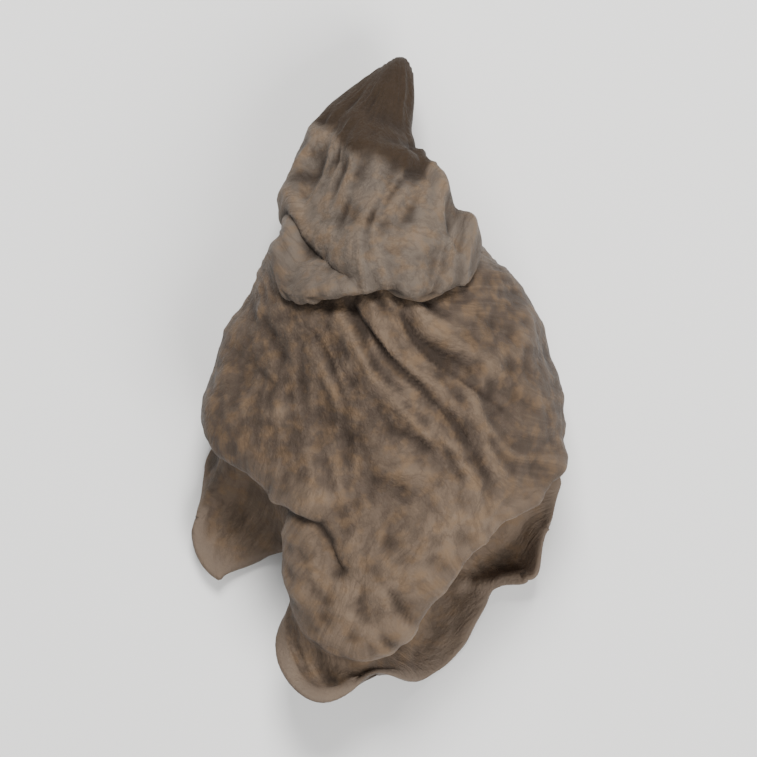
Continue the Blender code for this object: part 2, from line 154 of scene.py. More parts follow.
# The strip beyond the crest: its station, length, and in degrees its tuck on the way down and the
# turn at its end. A positive turn curls under the ear, a negative one flares out.
LEFT_STRIP = (
    (-9.8, 5.4, -5, -112),
    (-8.0, 4.5, 5, -75),
    (-5.5, 3.8, 0, 60),
    (-2.0, 4.35, 0, 140),
    (0.8, 3.55, 20, 40),
    (3.0, 3.6, 30, -60),
    (5.0, 2.9, 10, 60),
    (7.0, 2.4, 0, 110),
    (10.0, 1.5, 0, 70),
    (14.0, 0.6, 0, 10),
)
RIGHT_STRIP = (
    (-9.8, 6.1, 47, -152),
    (-8.0, 5.0, 36, -80),
    (-6.4, 4.2, 20, -20),
    (-5.0, 3.8, 0, 95),
    (-3.0, 4.05, 0, 160),
    (-0.6, 4.2, 0, 185),
    (2.0, 4.0, 0, 165),
    (4.5, 3.2, 0, 120),
    (7.0, 2.3, 0, 90),
    (10.0, 1.5, 0, 60),
    (14.0, 0.6, 0, 10),
)
BOTTOM_STRIP = (
    (-1.0, 5.4, -5, -112),
    (-0.86, 6.4, -12, -114),
    (-0.73, 6.9, -17, -110),
    (-0.63, 6.9, -16, -106),
    (-0.56, 5.9, -10, -88),
    (-0.5, 4.3, 0, -55),
    (-0.45, 3.4, 8, -20),
    (-0.4, 2.4, 15, 5),
    (-0.3, 2.3, 8, 0),
    (-0.2, 2.7, -10, -150),
    (-0.1, 4.2, -20, -200),
    (-0.02, 1.9, 0, -140),
    (0.04, 1.6, 10, -110),
    (0.12, 6.0, 28, -124),
    (0.26, 7.5, 29, -132),
    (0.42, 7.6, 32, -138),
    (0.55, 7.3, 36, -140),
    (0.7, 7.9, 38, -165),
    (0.84, 7.5, 40, -180),
    (1.0, 6.1, 47, -152),
)
TIP_STRIP = (
    (-1.0, 0.6, 0, 0),
    (0.0, 1.0, 0, 10),
    (1.0, 0.6, 0, 0),
)

# How far, in degrees, the bottom strip's way out is turned anticlockwise from straight out.
BOTTOM_LEAN = (
    (-1.0, -12), (-0.86, -8), (-0.74, 4), (-0.62, 31),
    (-0.5, 56), (-0.42, 25), (-0.34, 0), (1.0, 0),
)

# The turn grows with this power of the way out, and a bend is averaged over this many steps.
FLARE, BEND_STEPS = 1.7, 24

# The margin's waves: their share of the strip's length, their scale and the level of noise read.
MARGIN_WAVE, MARGIN_SCALE, MARGIN_LEVEL = 0.07, 0.9, 5.0

# Small shifts of the sheet in plan: place, radius and shift.
NUDGES = (
    ((4.9, -6.8), 0.9, (0.35, -0.5)),
    ((2.3, -7.9), 1.2, (-0.3, 0.3)),
    ((5.9, -3.2), 0.9, (0.35, 0.0)),
    ((2.2, 8.0), 1.3, (0.35, 0.1)),
    ((2.1, 5.5), 0.7, (0.3, 0.0)),
)

# The hood is the end of the sheet by the point, lapped back over the body. This is its lower
# edge from the left crest (-1) to the right crest (1), in station values.
HOOD_EDGE = (
    (-1.0, 3.0), (-0.8, 2.6), (-0.55, 2.6), (-0.3, 3.0), (-0.14, 3.2),
    (0.05, 2.9), (0.3, 2.8), (0.55, 3.1), (0.8, 3.6), (1.0, 3.9),
)

# The lap's length of sheet, its turns in radians in the middle and at the sides, how far above the
# hood's edge it starts, and the share of its lift that leans sideways.
LAP_LENGTH = 2.0
LAP_TURN, LAP_SIDE_TURN = 2.4, 0.25
LAP_LIP, LAP_SPREAD = 0.5, 0.5

# It fades out from the first share of the half width over the second one. Its height settles
# towards the point. Its length eases in at the sides, and is even this far before the point.
LEFT_FADE, RIGHT_FADE = (0.76, 0.28), (0.62, 0.38)
LAP_SETTLE, LAP_EASE, LAP_CLEAR = 6.0, 6.5, 1.0

# Round the lap's middle the broad relief is weaker: its station, the reach and the share lost.
LAP_MIDDLE, CALM_REACH, CALM_SHARE = 4.9, 1.9, 0.8

# Broad dents and sharper ridges of the whole sheet, by noise of these scales that is read at these
# shifts. They die out this far before the point.
CRUMPLE_DEPTH = 0.45
DENT_SCALE, DENT_SHIFT = 0.17, 10.0
RIDGE_SCALE, RIDGE_SHIFT, RIDGE_TOP, RIDGE_SHARE = 0.3, 17.0, 0.35, 1.1
POINT_SMOOTH = 4.5

# Ridges and hollows, listed: start, middle and end in plan, height, half width. The hood's
# are given where they lie on the sheet before it is lapped, and the hem's are beyond the crest.
# The hem's highlight is a painted highlight along its ridge, with a share of the rim's colour in place
# of a height.
CREASES = (
    ((-5.0, 0.6), (-3.4, -0.6), (-1.6, -1.8), -0.6, 1.5),
    ((-6.0, -2.1), (-4.4, -3.0), (-2.6, -4.1), 0.3, 0.7),
    ((5.2, -4.0), (2.6, -6.0), (0.2, -8.7), 0.25, 0.5),
    ((-1.4, 2.9), (0.1, 1.0), (1.9, -1.0), -0.16, 0.3),
    ((0.3, 2.6), (1.9, 0.6), (3.8, -0.8), -0.14, 0.3),
    ((-4.1, -4.1), (-2.6, -4.8), (-1.8, -6.5), -0.34, 0.42),
)
HEM_CREASES = (
    ((5.3, -7.3), (4.0, -7.4), (2.6, -7.2), 0.35, 0.3),
)
HEM_HIGHLIGHT = (
    ((5.3, -7.3), (4.0, -7.4), (2.6, -7.2), 0.9, 0.3),
)
HOOD_CREASES = (
    ((-3.3, 7.4), (-2.2, 6.2), (-0.9, 5.0), -0.55, 0.5),
    ((1.4, 10.4), (1.0, 8.6), (0.5, 7.0), 0.35, 1.0),
    ((-1.2, 11.4), (-0.9, 10.0), (-1.2, 8.6), 0.3, 0.6),
)

# How sharply a crease falls off, and the shares of a strip where creases end and the hem's begin.
CREASE_POWER, CREASE_END, WRINKLE_START = 1.5, 0.3, 1.2
HEM_FROM, HEM_BLEND = 0.25, 0.2

# Single wrinkles that stand out on the body and the hood, in the same form as the ridges above.
WRINKLES = (
    ((-1.5, 2.9), (-0.3, 1.3), (1.4, -0.5), -0.16, 0.2),
    ((-1.1, 3.0), (0.3, 1.1), (3.1, -1.5), 0.13, 0.24),
    ((-2.0, 2.5), (-0.8, 0.6), (1.7, -2.2), 0.13, 0.26),
    ((-2.3, 2.2), (-1.3, 0.4), (0.3, -1.7), -0.12, 0.2),
    ((-0.2, 2.9), (1.3, 1.2), (3.0, -0.2), -0.12, 0.2),
    ((0.8, 2.9), (2.1, 1.5), (4.0, 0.2), 0.1, 0.22),
    ((-0.6, -0.3), (0.6, -1.7), (2.6, -2.6), -0.1, 0.22),
    ((-6.1, -2.2), (-4.7, -3.2), (-2.9, -4.3), 0.12, 0.24),
    ((-4.2, -4.7), (-3.1, -5.6), (-2.5, -7.0), 0.16, 0.26),
    ((-3.3, -5.2), (-2.9, -6.2), (-2.6, -7.2), -0.12, 0.2),
    ((-3.0, -7.2), (-2.5, -8.2), (-2.2, -9.4), 0.1, 0.22),
    ((-1.9, -7.8), (-1.0, -8.7), (-0.2, -9.3), 0.12, 0.24),
    ((-0.8, -6.4), (0.0, -7.4), (0.5, -8.2), -0.1, 0.24),
    ((5.1, -4.1), (2.6, -6.0), (0.2, -8.8), 0.14, 0.22),
    ((3.2, -6.4), (2.4, -7.2), (1.4, -8.2), -0.3, 0.8),
)
HOOD_WRINKLES = (
    ((-2.2, 11.2), (0.0, 10.4), (2.0, 9.4), -0.14, 0.24),
    ((-2.4, 10.9), (-0.1, 10.0), (1.9, 9.0), 0.12, 0.3),
    ((-3.3, 8.6), (-2.6, 7.2), (-2.2, 6.0), 0.1, 0.26),
    ((0.4, 9.6), (1.2, 8.0), (2.0, 6.8), -0.1, 0.24),
    ((-0.6, 9.4), (-0.2, 7.8), (0.6, 6.4), 0.09, 0.26),
)

# The fine wrinkles fan out from where the sheet was gathered: one knot for the body and one, the
# point itself, for the hood. They stray a little. Each layer is its lines a radian and its height.
BODY_KNOT, HOOD_KNOT = (-5.6, 8.6), (0.4, 15.2)
FAN_ALONG, FAN_LEVEL, FAN_LEVEL_STEP = 0.34, 3.5, 7.0
FAN_STRAY, STRAY_SCALE, STRAY_LEVEL = 0.12, 0.3, 14.0
FAN_LAYERS = ((11.0, 0.25), (23.0, 0.14))
RIPPLE_TOP, RIPPLE_SHARPNESS = 0.5, 1.8

# Lumps between the wrinkles: scale and height of each layer.
LUMP_LAYERS = ((0.6, 0.14), (1.5, 0.07), (3.4, 0.028))
LUMP_SHIFT = 3.0

# The fine wrinkles come and go in patches. They are strongest round one place in plan, and have
# these shares of their strength away from it, on the hood and at the point.
PATCH_SCALE, PATCH_SHIFT, PATCH_BASE, PATCH_SWING = 0.45, 5.0, 0.75, 0.9
DRAWN_PLACE, DRAWN_RADIUS, DRAWN_LEAST = (0.9, 0.7), 4.0, 0.4
DRAWN_HOOD, DRAWN_POINT = 0.7, 0.35

# Where the outside is browner or paler than usual: place in plan, radius and change of its mottle.
# The patches mix tone with painted light and painted shade: the paler ones lighten the hem under
# the fold, the flap and the crest on the right, which lie in shade, and the darker ones darken the
# right side and the hollow on the left.
TONE_AND_LIGHT_PATCHES = (
    ((-4.5, -0.3), 2.4, -1.05),
    ((4.0, 0.8), 2.6, -0.6),
    ((0.2, 0.2), 3.0, -0.22),
    ((-5.0, -3.0), 0.9, 0.4),
    ((3.2, -5.2), 1.5, 0.8),
    ((-1.2, -8.2), 2.0, 0.6),
    ((3.8, -8.0), 2.0, 0.7),
    ((-3.6, 6.2), 1.8, 0.6),
    ((-5.2, -5.4), 1.7, 0.7),
    ((5.6, -6.2), 1.3, 1.0),
    ((-3.4, 5.4), 1.4, -0.9),
)

# Stations where the sheet's parts meet: bottom strip, body, lap, hood and tip strip. The grid's
# lines are those across a side strip and the dome, and those along the other parts.
BOTTOM_STATION, LAP_LOW, LAP_HIGH, TIP_STATION = -9.8, 3.0, 6.3, 14.0
SIDE_LINES, DOME_LINES = 36, 136
TIP_LINES, HOOD_LINES, LAP_LINES, BODY_LINES, BOTTOM_LINES = 8, 36, 50, 88, 36

# The lines on the dome stand closer towards the crest and those of a strip towards its free edge.
# At a corner the strips of the side and of the end share these parts of their length.
DOME_SWING, EDGE_CROWD = 1.2, 1.3
CORNER_ACROSS, CORNER_ALONG = 0.2, 0.08

# How often the sheet, and its inner face at the ends of the lap, are evened out, and by how much
# each time. Creases are what lies below the blurred relief.
SMOOTH_PASSES, INNER_PASSES, RELAX_SHARE = 40, 40, 0.5
BLUR_PASSES = 8

# The wall is thin in the lap and towards the point. Each pair is the station where that starts or
# ends and the length over which it does. The tip is thinner again.
LAP_WALL_START, LAP_WALL_END, POINT_WALL_START = (2.4, 1.0), (7.6, 1.5), (10.0, 3.0)
TIP_THIN, TIP_THIN_FROM = 0.7, 12.0

# The ends of the lap lose this share of the wall, and hollows leave at least this much of it.
LAP_END_THIN, LEAST_WALL = 0.6, 0.1

# The wall narrows and rounds off over this last part of a strip. The wrinkles end over twice as
# much, and over this height above the lowest level.
EDGE_ROUND, EDGE_THIN = 0.06, 0.9
RELIEF_EDGE = 2 * EDGE_ROUND
GROUND_FADE = 0.5

# The lowest parts of the margin are levelled over this height, and cut level at this depth.
PRESS_HEIGHT, PRESS_SOFT = 0.55, 0.05
SEAT_DEPTH = 0.1

# Where the colours of the hood, margin and rim start and over what length. A crease loses this
# share of its painted shade over this part of a strip.
HOOD_FROM, HOOD_BLEND = 4.0, 0.8
MARGIN_FROM, MARGIN_BLEND = 0.55, 0.45
RIM_FROM, RIM_BLEND = 0.86, 0.08
CREASE_LOSS, CREASE_LOSS_END = 0.5, 0.5

# The brown wedge of the attachment: its lowest place in plan, before the lap, and its edges.
POINT_WEDGE, POINT_SLOPE, POINT_BLEND = (-0.1, 8.9), 0.8, 0.6
POINT_WOBBLE, WOBBLE_SCALE = 0.9, 0.8

# Deep folds, which get painted shade, are found by rays that point outwards, from every third grid
# point, up to this reach.
HIDDEN_STEP, HIDDEN_RAYS, HIDDEN_LIFT, HIDDEN_REACH = 3, 32, 0.06, 3.0
HIDDEN_FACING = 0.1
GOLDEN_SHARE = 3.0 - math.sqrt(5.0)

# Geometry of the sheet, all in millimetres.

def smooth_step(value):
    """0 below 0, 1 above 1 and an S-curve between."""
    t = np.clip(value, 0.0, 1.0)
    return t * t * (3.0 - 2.0 * t)


def blend(stations, column, at, spread):
    """One column of a station table at these station values, smoothed over the spread."""
    keys = [row[0] for row in stations]
    values = [row[column] for row in stations]
    total = 0.0
    weights = 0.0
    for step in range(-BLEND_SIDE, BLEND_SIDE + 1):
        away = step / BLEND_STEPS
        weight = math.exp(-0.5 * away ** 2)
        total = total + weight * np.interp(at + away * spread, keys, values)
        weights += weight
    return total / weights


def blend_points(stations, at, spread):
    """Positions along a station table."""
    return np.stack([blend(stations, column, at, spread) for column in (1, 2, 3)], axis=-1)


def unit(vectors):
    """The same directions with length 1."""
    return vectors / np.maximum(np.linalg.norm(vectors, axis=-1, keepdims=True), TINY)


def crowded(share):
    """Move evenly spaced lines towards 1."""
    return 1.0 - (1.0 - np.clip(share, 0.0, 1.0)) ** EDGE_CROWD


def sheet_layout():
    """Lay a grid of lines out on the sheet.

    It returns the station along the sheet, the station across it, the distance past the crest (0
    on the dome and 1 at the free edge) and how far that strip belongs to an end of the sheet
    rather than to a side.
    """
    side, dome, tip, bottom = SIDE_LINES, DOME_LINES, TIP_LINES, BOTTOM_LINES
    columns = side + dome + side
    rows = bottom + BODY_LINES + LAP_LINES + HOOD_LINES + tip
    row, column = np.meshgrid(np.arange(rows + 1.0), np.arange(columns + 1.0), indexing="ij")
    gx = column - columns / 2
    past_side = crowded((np.abs(gx) - dome / 2) / side)
    past_bottom = crowded((bottom - row) / bottom)
    past_tip = crowded((row - (rows - tip)) / tip)
    past_end = np.maximum(past_bottom, past_tip)
    beyond = np.maximum(past_side, past_end)

    # Each ring of the strip spreads its lines over the whole crest, so that corners stay open.
    ring = 1.0 - (1.0 - beyond) ** (1.0 / EDGE_CROWD)
    dome_row = BODY_LINES + LAP_LINES + HOOD_LINES
    share_x = gx / (dome / 2 + side * ring)
    low = bottom * (1 - ring)
    high = bottom + dome_row + tip * ring
    share_y = (row - low) / (high - low)
    swing = np.linspace(-1.0, 1.0, dome + 1) * DOME_SWING
    q = np.interp(share_x, np.linspace(-1, 1, dome + 1), np.sin(swing) / math.sin(DOME_SWING))
    stations = np.concatenate([
        np.linspace(BOTTOM_STATION, LAP_LOW, BODY_LINES + 1)[:-1],
        np.linspace(LAP_LOW, LAP_HIGH, LAP_LINES + 1)[:-1],
        np.linspace(LAP_HIGH, TIP_STATION, HOOD_LINES + 1),
    ])
    s = np.interp(share_y, np.linspace(0, 1, dome_row + 1), stations)

    near_side = smooth_step((np.abs(share_x) - 1.0 + CORNER_ACROSS) / CORNER_ACROSS) / 2
    near_end = smooth_step((np.abs(share_y - 0.5) - 0.5 + CORNER_ALONG) / CORNER_ALONG) / 2
    endwise = np.where(past_end >= past_side, 1.0 - near_side, near_end)
    return s, q, beyond, endwise, share_y


def dome_points(s, q):
    """The smooth dome at these stations, without the hood's lap."""
    tables = (LEFT_CREST, RIGHT_CREST, SPINE)
    left, right, spine = (blend_points(table, s, CREST_SPREAD) for table in tables)
    section = np.where(q < 0, blend(SECTION, 1, s, SECTION_SPREAD),
                       blend(SECTION, 2, s, SECTION_SPREAD))
    q3 = q[..., None]
    centre = (left + right) / 2
    chord = centre + q3 * (right - left) / 2
    bow = spine - centre
    points = chord + bow * (1.0 - q3 ** 2)
    rise = np.sqrt(np.clip(1.0 - q ** 2, 0.0, 1.0)) ** section
    points[..., 2] = chord[..., 2] + bow[..., 2] * rise
    return points


def base_points(s, q):
    """The dome with its bottom row drawn onto the bottom crest."""
    points = dome_points(s, q)
    first = np.full_like(s, BOTTOM_STATION)
    gap = blend_points(BOTTOM_CREST, q, BOTTOM_CREST_SPREAD) - dome_points(first, q)
    near = np.clip((BOTTOM_REACH - s) / (BOTTOM_REACH - BOTTOM_STATION), 0.0, 1.0) ** BOTTOM_PULL
    return points + gap * near[..., None]


def strip_values(stations, at, spread):
    """Length, tuck and turn of a strip, with its angles in radians."""
    length = blend(stations, 1, at, spread)
    tuck = np.radians(blend(stations, 2, at, spread))
    end = np.radians(blend(stations, 3, at, spread))
    return np.stack([length, tuck, end], axis=-1)


def outward(s, q):
    """Plan directions away from the dome at its crest: past its sides, and past its ends."""
    low, high = BOTTOM_STATION, TIP_STATION
    ahead = base_points(np.clip(s + ALONG_STEP, low, high), q)
    behind = base_points(np.clip(s - ALONG_STEP, low, high), q)
    along = ahead - behind
    side = np.stack([along[..., 1], -along[..., 0]], axis=-1) * np.sign(q)[..., None]
    right = base_points(s, np.clip(q + ACROSS_STEP, -1, 1))
    left = base_points(s, np.clip(q - ACROSS_STEP, -1, 1))
    across = right - left
    end = np.stack([-across[..., 1], across[..., 0]], axis=-1)
    return unit(side), unit(end)


def bend_steps():
    """Middles of equal steps from 0 to 1, over which a bend's heading is averaged."""
    return (np.arange(BEND_STEPS) + 0.5) / BEND_STEPS


def open_sheet(s):
    """1 over most of the sheet, falling to 0 at the point."""
    return smooth_step((TIP_STATION - s) / POINT_SMOOTH)


def on_hem(beyond):
    """0 on the dome and 1 on the outer part of a strip."""
    return smooth_step((beyond - HEM_FROM) / HEM_BLEND)


def smooth_sheet(s, q, beyond, endwise, share_y):
    """The sheet without its lap: the dome and the strip that hangs from its crest."""
    side, end = outward(s, q)
    at_bottom = (share_y < 0.5)[..., None]
    end = np.where(at_bottom, -end, end)
    lean = np.radians(blend(BOTTOM_LEAN, 1, q, BOTTOM_STRIP_SPREAD)) * (share_y < 0.5)
    end = np.stack([end[..., 0] * np.cos(lean) - end[..., 1] * np.sin(lean),
                    end[..., 0] * np.sin(lean) + end[..., 1] * np.cos(lean)], axis=-1)
    mix = endwise[..., None]
    direction = unit(side * (1.0 - mix) + end * mix)
    side_values = np.where(q[..., None] < 0, strip_values(LEFT_STRIP, s, STRIP_SPREAD),
                           strip_values(RIGHT_STRIP, s, STRIP_SPREAD))
    end_values = np.where(at_bottom, strip_values(BOTTOM_STRIP, q, BOTTOM_STRIP_SPREAD),
                          strip_values(TIP_STRIP, q, TIP_STRIP_SPREAD))
    values = side_values * (1.0 - mix) + end_values * mix
    length, tuck, turn = values[..., 0], values[..., 1], values[..., 2]
    base = base_points(s, q)
    wave = noise_at(MARGIN_SCALE, base[..., 0], base[..., 1], MARGIN_LEVEL)
    length = length * (1.0 + MARGIN_WAVE * wave * open_sheet(s))
    part = beyond[..., None] * bend_steps()
    heading = math.pi / 2 + tuck[..., None] * np.sin(math.pi * part)
    heading = heading + turn[..., None] * part ** FLARE
    run = length * beyond
    base[..., :2] += direction * (run * np.cos(heading).mean(axis=-1))[..., None]
    base[..., 2] -= run * np.sin(heading).mean(axis=-1)
    return base


def bell(points, place, radius):
    """1 at a place in plan, falling off round it."""
    away = np.hypot(points[..., 0] - place[0], points[..., 1] - place[1]) / radius
    return np.exp(-away ** 2)


def nudge(points):
    """Shift the sheet in plan near the chosen places."""
    moved = points.copy()
    for place, radius, shift in NUDGES:
        moved[..., :2] += bell(points, place, radius)[..., None] * np.array(shift)
    return moved


def relax(points, passes):
    """Even out a structured grid of points, leaving its outer edge."""
    points = points.copy()
    for _ in range(passes):
        inner = (points[:-2, 1:-1] + points[2:, 1:-1] + points[1:-1, :-2] + points[1:-1, 2:]) / 4
        points[1:-1, 1:-1] += RELAX_SHARE * (inner - points[1:-1, 1:-1])
    return points


def grid_normals(points):
    """Outward unit normals of a structured grid of points."""
    along = np.gradient(points, axis=0)
    across = np.gradient(points, axis=1)
    return unit(np.cross(across, along))


def lap_place(s, q, beyond):
    """Where the lap starts, how far through it each point is and how far it has faded out there."""
    reach = np.abs(q) + beyond
    fade = np.where(q < 0, smooth_step((reach - LEFT_FADE[0]) / LEFT_FADE[1]),
                    smooth_step((reach - RIGHT_FADE[0]) / RIGHT_FADE[1]))
    start = blend(HOOD_EDGE, 1, q, HOOD_SPREAD) + LAP_LIP
    through = np.clip((s - start) / LAP_LENGTH, 0.0, 1.0)
    return start, through, fade


def lap_hood(points, normals, s, q, beyond):
    """Lap the pointed end back over the body, so that its edge stands on the body as a lip."""
    start, through, fade = lap_place(s, q, beyond)
    turn = LAP_TURN + (LAP_SIDE_TURN - LAP_TURN) * fade
    heading = turn[..., None] * np.sin(math.pi * through[..., None] * bend_steps())
    run = LAP_LENGTH * through
    back = run * (1.0 - np.cos(heading).mean(axis=-1))
    settle = np.exp(-np.clip(s - start - LAP_LENGTH, 0.0, None) / LAP_SETTLE)
    lift = run * np.sin(heading).mean(axis=-1) * settle
    upward = normals * np.array((LAP_SPREAD, 1.0, 1.0))
    folded = points + upward * lift[..., None]
    eased = LAP_LENGTH * smooth_step((s - LAP_LOW) / LAP_EASE)
    shift = back + (eased - back) * fade
    even = smooth_step((s - LAP_HIGH) / (TIP_STATION - LAP_HIGH - LAP_CLEAR))
    folded[..., 1] -= shift + (LAP_LENGTH - shift) * even
    return folded


def press(points):
    """Level the lowest parts of the margin, where the ear lies on the surface."""
    level = points[..., 2].min() + PRESS_HEIGHT
    above = (points[..., 2] - level) / PRESS_SOFT
    points[..., 2] = level + PRESS_SOFT * np.logaddexp(0.0, above)
    return points


def crease_height(creases, x, y):
    """Height that the hand-set ridges and hollows add at plan positions."""
    total = np.zeros_like(x)
    for start, middle, end, height, width in creases:
        nearest = np.full_like(x, FAR_AWAY)
        for a, b in ((start, middle), (middle, end)):
            dx, dy = b[0] - a[0], b[1] - a[1]
            along = np.clip(((x - a[0]) * dx + (y - a[1]) * dy) / (dx * dx + dy * dy), 0.0, 1.0)
            nearest = np.minimum(nearest, np.hypot(x - a[0] - along * dx, y - a[1] - along * dy))
        total += height * np.exp(-(nearest / width) ** CREASE_POWER)
    return total


def noise_at(scale, x, y, z):
    """Smooth noise at arrays of positions, of which z may be one level."""
    flat = np.stack(np.broadcast_arrays(x, y, z), axis=-1).reshape(-1, 3) * scale
    return np.array([noise.noise(Vector(p)) for p in flat]).reshape(x.shape)


def broad_relief(points, s, beyond):
    """Height of the dents and large creases along the sheet's normal."""
    x, y, z = points[..., 0], points[..., 1], points[..., 2]
    dents = noise_at(DENT_SCALE, x, y, z + DENT_SHIFT)
    ridges = RIDGE_TOP - np.abs(noise_at(RIDGE_SCALE, x + RIDGE_SHIFT, y, z))
    crumple = CRUMPLE_DEPTH * (dents + RIDGE_SHARE * ridges)
    calm = 1.0 - CALM_SHARE * np.exp(-((s - LAP_MIDDLE) / CALM_REACH) ** 4)
    on_hood = smooth_step(s - LAP_MIDDLE)
    creases = crease_height(CREASES, x, y) * (1.0 - on_hood)
    creases += crease_height(HOOD_CREASES, x, y) * on_hood
    on_dome = np.clip(1.0 - beyond / CREASE_END, 0.0, 1.0)
    hem = crease_height(HEM_CREASES, x, y) * on_hem(beyond)
    return (crumple * calm + creases * on_dome + hem) * open_sheet(s)


def fan_place(points, s):
    """Where each point lies in its fan: the turn round the knot, and the way out from it."""
    x, y, z = points[..., 0], points[..., 1], points[..., 2]
    stray = noise_at(STRAY_SCALE, x, y, STRAY_LEVEL) * FAN_STRAY
    places = []
    for knot in (BODY_KNOT, HOOD_KNOT):
        dx, dy = x - knot[0], y - knot[1]
        places.append(np.stack([np.arctan2(dy, dx) + stray, np.hypot(dx, dy) + z], axis=-1))
    return np.where((s > LAP_MIDDLE)[..., None], places[1], places[0])


def fine_relief(points, s, beyond, fan):
    """Height of the fine wrinkles of the outer skin."""
    x, y, z = points[..., 0], points[..., 1], points[..., 2]
    on_hood = smooth_step(s - LAP_MIDDLE)
    drawn = DRAWN_LEAST + (1.0 - DRAWN_LEAST) * bell(points, DRAWN_PLACE, DRAWN_RADIUS)
    patches = PATCH_BASE + PATCH_SWING * noise_at(PATCH_SCALE, x + PATCH_SHIFT, y, z)
    patches *= np.maximum(drawn, DRAWN_HOOD * on_hood)
    total = np.zeros_like(s)
    for number, (lines, height) in enumerate(FAN_LAYERS):
        level = FAN_LEVEL + FAN_LEVEL_STEP * number
        ripple = noise_at(1.0, fan[..., 0] * lines, fan[..., 1] * FAN_ALONG, level)
        total += height * (RIPPLE_TOP - RIPPLE_SHARPNESS * np.abs(ripple)) * patches
    for scale, height in LUMP_LAYERS:
        total += height * noise_at(scale, x, y, z + LUMP_SHIFT)
    on_dome = np.clip(WRINKLE_START - beyond / CREASE_END, 0.0, 1.0)
    total += crease_height(WRINKLES, x, y) * (1.0 - on_hood) * on_dome
    total += crease_height(HOOD_WRINKLES, x, y) * on_hood * on_dome
    return total * (DRAWN_POINT + (1.0 - DRAWN_POINT) * open_sheet(s))


def blur(values, passes):
    """Average a grid of values with their neighbours."""
    for _ in range(passes):
        padded = np.pad(values, 1, mode="edge")
        values = (padded[:-2, 1:-1] + padded[2:, 1:-1] + padded[1:-1, :-2] + padded[1:-1, 2:]) / 4
    return values


def ramp(s, begin):
    """From 0 to 1 over the length that begin gives after its station."""
    return smooth_step((s - begin[0]) / begin[1])


def wall_at(s, beyond, ear):
    """Wall thickness at a station and a distance past the crest."""
    middle, edge, lap = ear.wall / MM, ear.edge_wall / MM, ear.lap_wall / MM
    wall = middle + (edge - middle) * smooth_step(beyond)
    before_end = smooth_step((LAP_WALL_END[0] - s) / LAP_WALL_END[1])
    thin = np.maximum(ramp(s, LAP_WALL_START) * before_end, ramp(s, POINT_WALL_START))
    wall = np.minimum(wall, middle + (lap - middle) * thin)
    wall *= 1.0 - TIP_THIN * smooth_step((s - TIP_THIN_FROM) / (TIP_STATION - TIP_THIN_FROM))
    last = np.clip((beyond - 1.0 + EDGE_ROUND) / EDGE_ROUND, 0.0, 1.0)
    return wall * np.sqrt(1.0 - (EDGE_THIN * last) ** 2)


def tone_and_light_at(points):
    """How much paler or browner the outside is at each point, by its place in plan, partly as painted
    light and painted shade.
    """
    total = np.zeros(points.shape[:2])
    for place, radius, change in TONE_AND_LIGHT_PATCHES:
        total += change * bell(points, place, radius)
    return total


def point_mask(points, s):
    """1 on the brown attachment: a wedge that runs down from the point onto the hood."""
    inside = points[..., 1] - POINT_WEDGE[1]
    inside -= POINT_SLOPE * np.maximum(POINT_WEDGE[0] - points[..., 0], 0.0)
    wobble = POINT_WOBBLE * noise_at(WOBBLE_SCALE, points[..., 0], points[..., 1], points[..., 2])
    return smooth_step((inside + wobble) / POINT_BLEND) * (s > LAP_HIGH)


def ear_sheet(ear):
    """Both faces of the sheet as grids of points, with what its finish needs to know."""
    s, q, beyond, endwise, share_y = sheet_layout()
    flat = nudge(relax(smooth_sheet(s, q, beyond, endwise, share_y), SMOOTH_PASSES))
    normals = grid_normals(flat)
    broad = broad_relief(flat, s, beyond)
    fan = fan_place(flat, s)
    fine = fine_relief(flat, s, beyond, fan) * ear.wrinkle_strength
    middle = press(lap_hood(flat + normals * broad[..., None], normals, s, q, beyond))
    normals = grid_normals(middle)
    _, through, lost = lap_place(s, q, beyond)

    # 1 where the lap is half lost and half way through, as 4 times a half of a half is.
    lap_end = 4.0 * lost * (1.0 - lost) * np.sin(math.pi * through)
    wall = wall_at(s, beyond, ear) * (1.0 - LAP_END_THIN * lap_end)
    fade = 1.0 - smooth_step((beyond - 1.0 + RELIEF_EDGE) / RELIEF_EDGE)
    lifted = smooth_step((middle[..., 2] - middle[..., 2].min()) / GROUND_FADE)
    raised = np.maximum(fine * fade * lifted * (1.0 - lap_end), LEAST_WALL - wall)
    top = middle + normals * (wall / 2 + raised)[..., None]
    inner = middle + (relax(middle, INNER_PASSES) - middle) * lap_end[..., None]
    low = inner - grid_normals(inner) * (wall / 2)[..., None]
    height = broad + fine
    sunk = (blur(height, BLUR_PASSES) - height) / ear.crease_depth * MM
    crease_left = 1.0 - CREASE_LOSS * smooth_step(beyond / CREASE_LOSS_END)
    # A painted highlight along the ridge on the hem.
    hem_highlight = crease_height(HEM_HIGHLIGHT, flat[..., 0], flat[..., 1]) * on_hem(beyond)
    facts = {
        # Painted shade in the creases.
        "crease_shade": np.clip(sunk, 0.0, 1.0) * crease_left,
        # Painted highlight on the ridges.
        "ridge_highlight": np.clip(-sunk, 0.0, 1.0),
        "margin": smooth_step((beyond - MARGIN_FROM) / MARGIN_BLEND),
        # A paler rim at the free edge, and a painted highlight along the hem's ridge.
        "rim_and_hem_highlight": np.maximum(smooth_step((beyond - RIM_FROM) / RIM_BLEND), hem_highlight),
        "fan_turn": fan[..., 0],
        "fan_way": fan[..., 1],
        "hood": smooth_step((s - HOOD_FROM) / HOOD_BLEND),
        "point": point_mask(flat, s),
        # Tone patches, partly painted light and painted shade.
        "tone_and_light": tone_and_light_at(flat),
    }
    return top, low, facts


